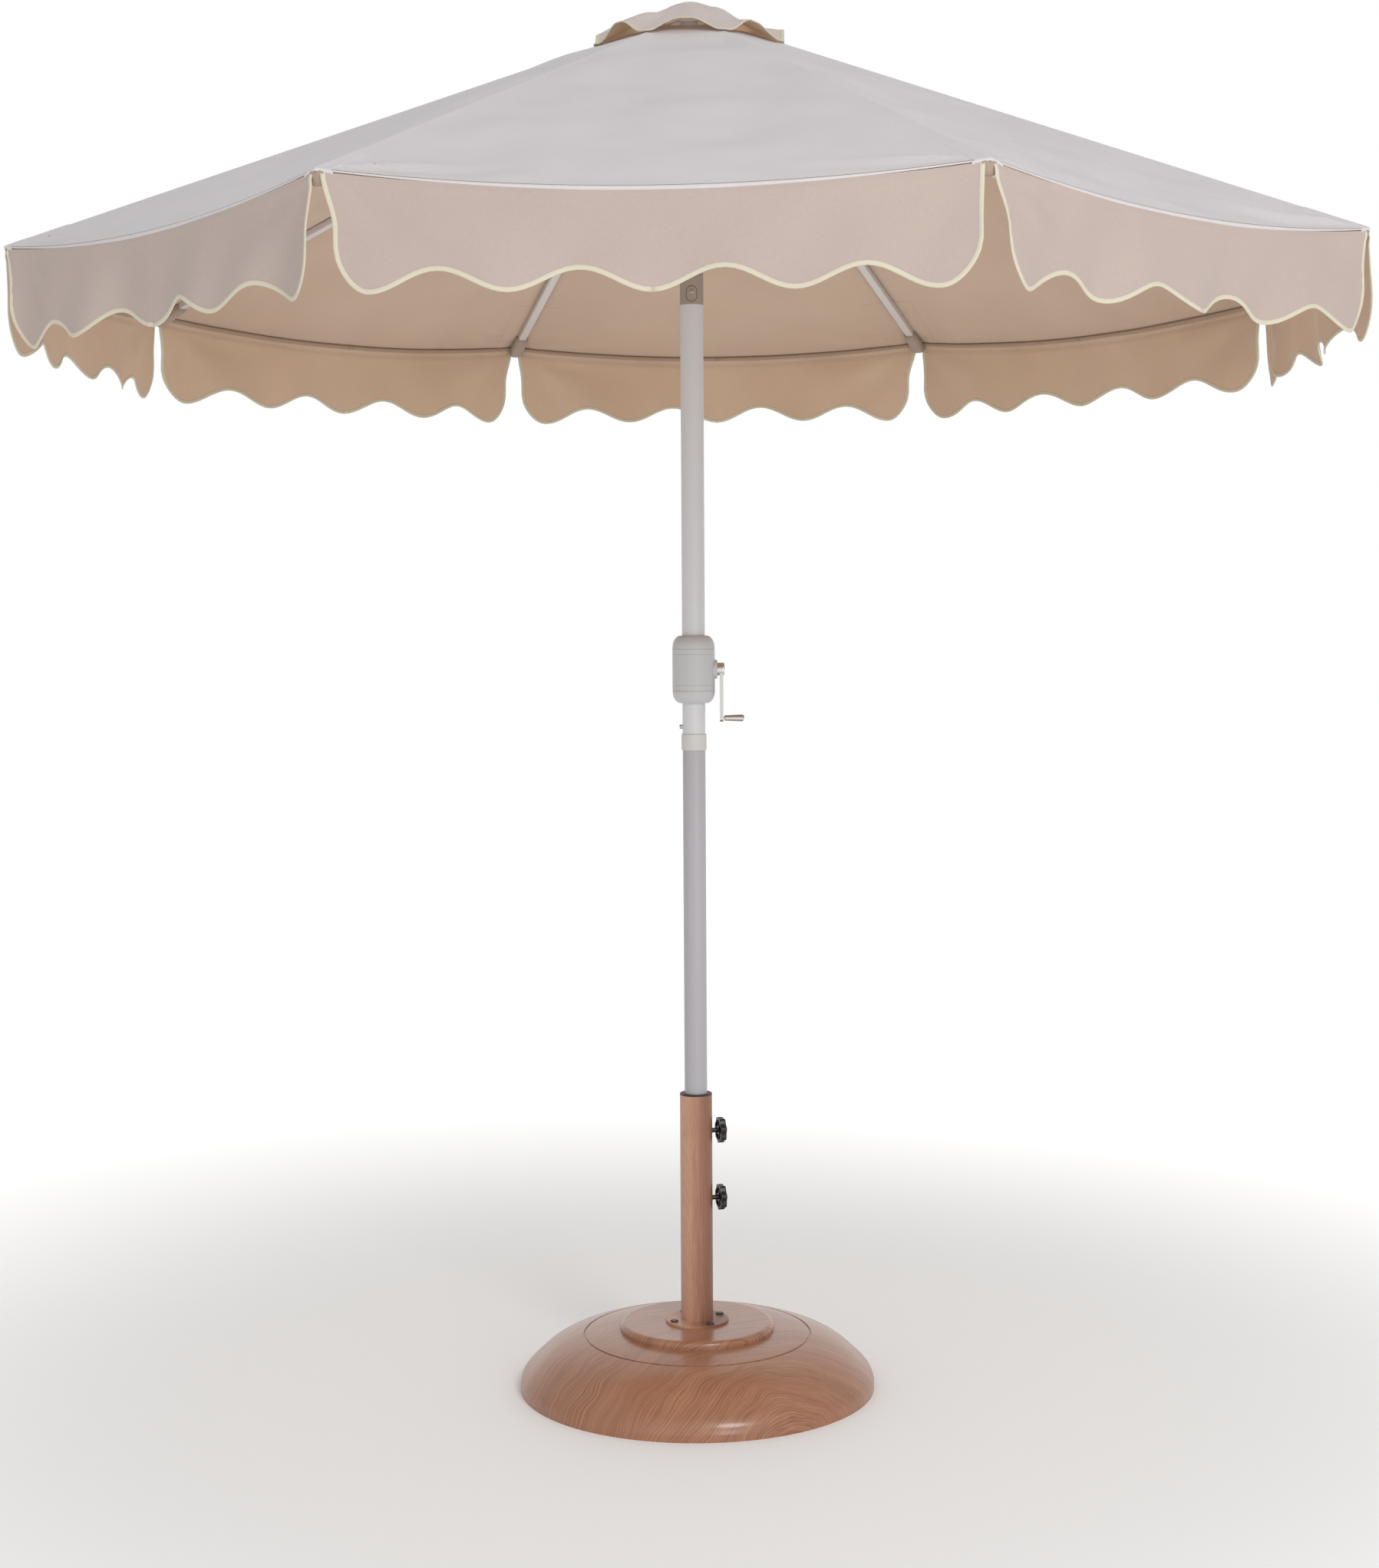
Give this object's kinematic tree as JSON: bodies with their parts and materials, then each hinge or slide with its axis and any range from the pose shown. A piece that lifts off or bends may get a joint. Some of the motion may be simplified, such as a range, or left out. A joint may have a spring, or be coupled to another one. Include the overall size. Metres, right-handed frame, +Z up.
{
  "type": "patio umbrella with base",
  "caption": "Crank-lift patio umbrella with a scalloped valance, vent cap and push-button tilt, standing in a heavy round base with a clamped tube.",
  "frame": {"origin": "middle of the base's underside, on the pole's axis", "axes": "+Z up along the pole, +X toward the crank's side, -Y toward the tilt button"},
  "size_m": [2.0486, 2.0486, 2.281],
  "materials": {
    "wood_print_resin": "gloss",
    "wood_print_steel": "satin",
    "ballast_fill": "rough",
    "dark_steel": "satin",
    "dark_plastic": "matte",
    "black_plastic": "semi-gloss",
    "pole_paint_lower": "satin",
    "pole_paint_upper": "satin",
    "cream_plastic": "satin",
    "polished_steel": "polished",
    "housing_plastic": "satin",
    "chrome": "polished",
    "tilt_plastic": "satin",
    "hub_plastic": "satin",
    "rib_paint": "satin",
    "canopy_fabric": "plain weave",
    "valance_fabric": "plain weave"
  },
  "bodies": {
    "base": {"base_shell": "wood_print_resin", "base_ballast": "ballast_fill", "stand_tube": "wood_print_steel", "flange_bolts": "dark_steel", "knob_nuts": "dark_steel"},
    "sleeve": {"reducer_sleeve": "dark_plastic"},
    "pole": {"lower_pole": "pole_paint_lower", "pole_foot": "dark_plastic", "joint_collar": "cream_plastic", "upper_pole": "pole_paint_upper", "housing_caps": "housing_plastic", "housing_shell": "housing_plastic", "tilt_socket": "tilt_plastic", "tilt_pin": "polished_steel"},
    "snap_button": {"snap_button": "polished_steel"},
    "clamp_pad_upper": {"clamp_pad_upper": "dark_plastic"},
    "clamp_knob_upper": {"clamp_knob_upper": "black_plastic"},
    "clamp_pad_lower": {"clamp_pad_lower": "dark_plastic"},
    "clamp_knob_lower": {"clamp_knob_lower": "black_plastic"},
    "crank": {"cord_reel": "dark_plastic", "crank_arm": "chrome"},
    "crank_grip": {"crank_grip": "chrome"},
    "tilt_button": {"tilt_button": "polished_steel"},
    "head": {"head_mast": "pole_paint_upper", "top_hub": "hub_plastic", "vent_crown": "canopy_fabric"},
    "cord_pulley": {"cord_pulley": "dark_plastic"},
    "runner": {"runner": "hub_plastic"},
    "rib_1": {"rib_1": "rib_paint", "canopy_1": "canopy_fabric"},
    "strut_1": {"strut_1": "rib_paint"},
    "valance_1": {"valance_1": "valance_fabric"},
    "rib_2": {"rib_2": "rib_paint", "canopy_2": "canopy_fabric"},
    "strut_2": {"strut_2": "rib_paint"},
    "valance_2": {"valance_2": "valance_fabric"},
    "rib_3": {"rib_3": "rib_paint", "canopy_3": "canopy_fabric"},
    "strut_3": {"strut_3": "rib_paint"},
    "valance_3": {"valance_3": "valance_fabric"},
    "rib_4": {"rib_4": "rib_paint", "canopy_4": "canopy_fabric"},
    "strut_4": {"strut_4": "rib_paint"},
    "valance_4": {"valance_4": "valance_fabric"},
    "rib_5": {"rib_5": "rib_paint", "canopy_5": "canopy_fabric"},
    "strut_5": {"strut_5": "rib_paint"},
    "valance_5": {"valance_5": "valance_fabric"},
    "rib_6": {"rib_6": "rib_paint", "canopy_6": "canopy_fabric"},
    "strut_6": {"strut_6": "rib_paint"},
    "valance_6": {"valance_6": "valance_fabric"},
    "rib_7": {"rib_7": "rib_paint", "canopy_7": "canopy_fabric"},
    "strut_7": {"strut_7": "rib_paint"},
    "valance_7": {"valance_7": "valance_fabric"},
    "rib_8": {"rib_8": "rib_paint", "canopy_8": "canopy_fabric"},
    "strut_8": {"strut_8": "rib_paint"},
    "valance_8": {"valance_8": "valance_fabric"}
  },
  "joints": [
    {"name": "pole_turn", "type": "hinge", "parent": "base", "child": "sleeve", "pos_m": [0, 0, 0.474], "axis": [0, 0, 1], "range_deg": [-180, 180]},
    {"name": "pole_lift", "type": "slide", "parent": "sleeve", "child": "pole", "axis": [0, 0, 1], "range_m": [0, 0.33]},
    {"name": "snap_button_press", "type": "slide", "parent": "pole", "child": "snap_button", "axis": [1, 0, 0], "range_m": [0, 0.005], "stiffness_N_per_m": 800, "springref_m": -0.003},
    {"name": "tilt", "type": "hinge", "parent": "pole", "child": "head", "pos_m": [0, 0, 1.866], "axis": [1, 0, 0], "range_deg": [0, 35]},
    {"name": "tilt_button_press", "type": "slide", "parent": "pole", "child": "tilt_button", "axis": [0, 1, 0], "range_m": [0, 0.003], "stiffness_N_per_m": 800, "springref_m": -0.003},
    {"name": "crank_grip_spin", "type": "hinge", "parent": "crank", "child": "crank_grip", "pos_m": [0.067, 0, 1.127], "axis": [1, 0, 0], "continuous": true},
    {"name": "crank_turn", "type": "hinge", "parent": "pole", "child": "crank", "pos_m": [0.045, 0, 1.208], "axis": [1, 0, 0], "range_deg": [-2160, 0]},
    {"name": "pulley_spin", "type": "hinge", "parent": "head", "child": "cord_pulley", "pos_m": [0, 0, 2.21667], "axis": [1, 0, 0], "range_deg": [-2160, 0]},
    {"name": "runner_slide", "type": "slide", "parent": "head", "child": "runner", "axis": [0, 0, 1], "range_m": [-0.53407, 0]},
    {"name": "clamp_upper_travel", "type": "slide", "parent": "base", "child": "clamp_pad_upper", "axis": [0.9659, 0.2588, 0], "range_m": [0, 0.005]},
    {"name": "clamp_upper_turn", "type": "hinge", "parent": "clamp_pad_upper", "child": "clamp_knob_upper", "pos_m": [0.03864, 0.01035, 0.433], "axis": [0.9659, 0.2588, 0], "range_deg": [0, 1440]},
    {"name": "clamp_lower_travel", "type": "slide", "parent": "base", "child": "clamp_pad_lower", "axis": [0.9659, 0.2588, 0], "range_m": [0, 0.005]},
    {"name": "clamp_lower_turn", "type": "hinge", "parent": "clamp_pad_lower", "child": "clamp_knob_lower", "pos_m": [0.03864, 0.01035, 0.3185], "axis": [0.9659, 0.2588, 0], "range_deg": [0, 1440]},
    {"name": "canopy_fold", "type": "hinge", "parent": "head", "child": "rib_1", "pos_m": [-0.01268, -0.02719, 2.25267], "axis": [-0.9063, 0.4226, 0], "range_deg": [-63.75, 0], "deforming": ["canopy_1", "valance_1"]},
    {"name": "strut_fold_1", "type": "hinge", "parent": "rib_1", "child": "strut_1", "pos_m": [-0.18384, -0.39425, 2.08015], "axis": [-0.9063, 0.4226, 0], "range_deg": [0, 127.5]},
    {"name": "valance_hang_1", "type": "hinge", "parent": "rib_1", "child": "valance_1", "pos_m": [-0.45896, -0.98425, 1.85056], "axis": [-0.9063, 0.4226, 0], "range_deg": [0, 63.75]},
    {"name": "rib_fold_2", "type": "hinge", "parent": "head", "child": "rib_2", "pos_m": [0.01026, -0.02819, 2.25267], "axis": [-0.9397, -0.342, 0], "range_deg": [-63.75, 0], "deforming": ["canopy_2", "valance_2"]},
    {"name": "strut_fold_2", "type": "hinge", "parent": "rib_2", "child": "strut_2", "pos_m": [0.14878, -0.40877, 2.08015], "axis": [-0.9397, -0.342, 0], "range_deg": [0, 127.5]},
    {"name": "valance_hang_2", "type": "hinge", "parent": "rib_2", "child": "valance_2", "pos_m": [0.37143, -1.02051, 1.85056], "axis": [-0.9397, -0.342, 0], "range_deg": [0, 63.75]},
    {"name": "rib_fold_3", "type": "hinge", "parent": "head", "child": "rib_3", "pos_m": [0.02719, -0.01268, 2.25267], "axis": [-0.4226, -0.9063, 0], "range_deg": [-63.75, 0], "deforming": ["canopy_3", "valance_3"]},
    {"name": "strut_fold_3", "type": "hinge", "parent": "rib_3", "child": "strut_3", "pos_m": [0.39425, -0.18384, 2.08015], "axis": [-0.4226, -0.9063, 0], "range_deg": [0, 127.5]},
    {"name": "valance_hang_3", "type": "hinge", "parent": "rib_3", "child": "valance_3", "pos_m": [0.98425, -0.45896, 1.85056], "axis": [-0.4226, -0.9063, 0], "range_deg": [0, 63.75]},
    {"name": "rib_fold_4", "type": "hinge", "parent": "head", "child": "rib_4", "pos_m": [0.02819, 0.01026, 2.25267], "axis": [0.342, -0.9397, 0], "range_deg": [-63.75, 0], "deforming": ["canopy_4", "valance_4"]},
    {"name": "strut_fold_4", "type": "hinge", "parent": "rib_4", "child": "strut_4", "pos_m": [0.40877, 0.14878, 2.08015], "axis": [0.342, -0.9397, 0], "range_deg": [0, 127.5]},
    {"name": "valance_hang_4", "type": "hinge", "parent": "rib_4", "child": "valance_4", "pos_m": [1.02051, 0.37143, 1.85056], "axis": [0.342, -0.9397, 0], "range_deg": [0, 63.75]},
    {"name": "rib_fold_5", "type": "hinge", "parent": "head", "child": "rib_5", "pos_m": [0.01268, 0.02719, 2.25267], "axis": [0.9063, -0.4226, 0], "range_deg": [-63.75, 0], "deforming": ["canopy_5", "valance_5"]},
    {"name": "strut_fold_5", "type": "hinge", "parent": "rib_5", "child": "strut_5", "pos_m": [0.18384, 0.39425, 2.08015], "axis": [0.9063, -0.4226, 0], "range_deg": [0, 127.5]},
    {"name": "valance_hang_5", "type": "hinge", "parent": "rib_5", "child": "valance_5", "pos_m": [0.45896, 0.98425, 1.85056], "axis": [0.9063, -0.4226, 0], "range_deg": [0, 63.75]},
    {"name": "rib_fold_6", "type": "hinge", "parent": "head", "child": "rib_6", "pos_m": [-0.01026, 0.02819, 2.25267], "axis": [0.9397, 0.342, 0], "range_deg": [-63.75, 0], "deforming": ["canopy_6", "valance_6"]},
    {"name": "strut_fold_6", "type": "hinge", "parent": "rib_6", "child": "strut_6", "pos_m": [-0.14878, 0.40877, 2.08015], "axis": [0.9397, 0.342, 0], "range_deg": [0, 127.5]},
    {"name": "valance_hang_6", "type": "hinge", "parent": "rib_6", "child": "valance_6", "pos_m": [-0.37143, 1.02051, 1.85056], "axis": [0.9397, 0.342, 0], "range_deg": [0, 63.75]},
    {"name": "rib_fold_7", "type": "hinge", "parent": "head", "child": "rib_7", "pos_m": [-0.02719, 0.01268, 2.25267], "axis": [0.4226, 0.9063, 0], "range_deg": [-63.75, 0], "deforming": ["canopy_7", "valance_7"]},
    {"name": "strut_fold_7", "type": "hinge", "parent": "rib_7", "child": "strut_7", "pos_m": [-0.39425, 0.18384, 2.08015], "axis": [0.4226, 0.9063, 0], "range_deg": [0, 127.5]},
    {"name": "valance_hang_7", "type": "hinge", "parent": "rib_7", "child": "valance_7", "pos_m": [-0.98425, 0.45896, 1.85056], "axis": [0.4226, 0.9063, 0], "range_deg": [0, 63.75]},
    {"name": "rib_fold_8", "type": "hinge", "parent": "head", "child": "rib_8", "pos_m": [-0.02819, -0.01026, 2.25267], "axis": [-0.342, 0.9397, 0], "range_deg": [-63.75, 0], "deforming": ["canopy_8", "valance_8"]},
    {"name": "strut_fold_8", "type": "hinge", "parent": "rib_8", "child": "strut_8", "pos_m": [-0.40877, -0.14878, 2.08015], "axis": [-0.342, 0.9397, 0], "range_deg": [0, 127.5]},
    {"name": "valance_hang_8", "type": "hinge", "parent": "rib_8", "child": "valance_8", "pos_m": [-1.02051, -0.37143, 1.85056], "axis": [-0.342, 0.9397, 0], "range_deg": [0, 63.75]}
  ],
  "couplings": [
    {"joint": "crank_turn", "follows": "canopy_fold", "ratio": 33.882},
    {"joint": "pulley_spin", "follows": "canopy_fold", "ratio": 33.882},
    {"joint": "runner_slide", "follows": "canopy_fold", "m_per_rad": 0.47998},
    {"joint": "clamp_upper_travel", "follows": "clamp_upper_turn", "m_per_rad": 0.00019894},
    {"joint": "clamp_lower_travel", "follows": "clamp_lower_turn", "m_per_rad": 0.00019894},
    {"joint": "strut_fold_1", "follows": "canopy_fold", "ratio": -2},
    {"joint": "valance_hang_1", "follows": "canopy_fold", "ratio": -1},
    {"joint": "rib_fold_2", "follows": "canopy_fold", "ratio": 1},
    {"joint": "strut_fold_2", "follows": "canopy_fold", "ratio": -2},
    {"joint": "valance_hang_2", "follows": "canopy_fold", "ratio": -1},
    {"joint": "rib_fold_3", "follows": "canopy_fold", "ratio": 1},
    {"joint": "strut_fold_3", "follows": "canopy_fold", "ratio": -2},
    {"joint": "valance_hang_3", "follows": "canopy_fold", "ratio": -1},
    {"joint": "rib_fold_4", "follows": "canopy_fold", "ratio": 1},
    {"joint": "strut_fold_4", "follows": "canopy_fold", "ratio": -2},
    {"joint": "valance_hang_4", "follows": "canopy_fold", "ratio": -1},
    {"joint": "rib_fold_5", "follows": "canopy_fold", "ratio": 1},
    {"joint": "strut_fold_5", "follows": "canopy_fold", "ratio": -2},
    {"joint": "valance_hang_5", "follows": "canopy_fold", "ratio": -1},
    {"joint": "rib_fold_6", "follows": "canopy_fold", "ratio": 1},
    {"joint": "strut_fold_6", "follows": "canopy_fold", "ratio": -2},
    {"joint": "valance_hang_6", "follows": "canopy_fold", "ratio": -1},
    {"joint": "rib_fold_7", "follows": "canopy_fold", "ratio": 1},
    {"joint": "strut_fold_7", "follows": "canopy_fold", "ratio": -2},
    {"joint": "valance_hang_7", "follows": "canopy_fold", "ratio": -1},
    {"joint": "rib_fold_8", "follows": "canopy_fold", "ratio": 1},
    {"joint": "strut_fold_8", "follows": "canopy_fold", "ratio": -2},
    {"joint": "valance_hang_8", "follows": "canopy_fold", "ratio": -1}
  ]
}
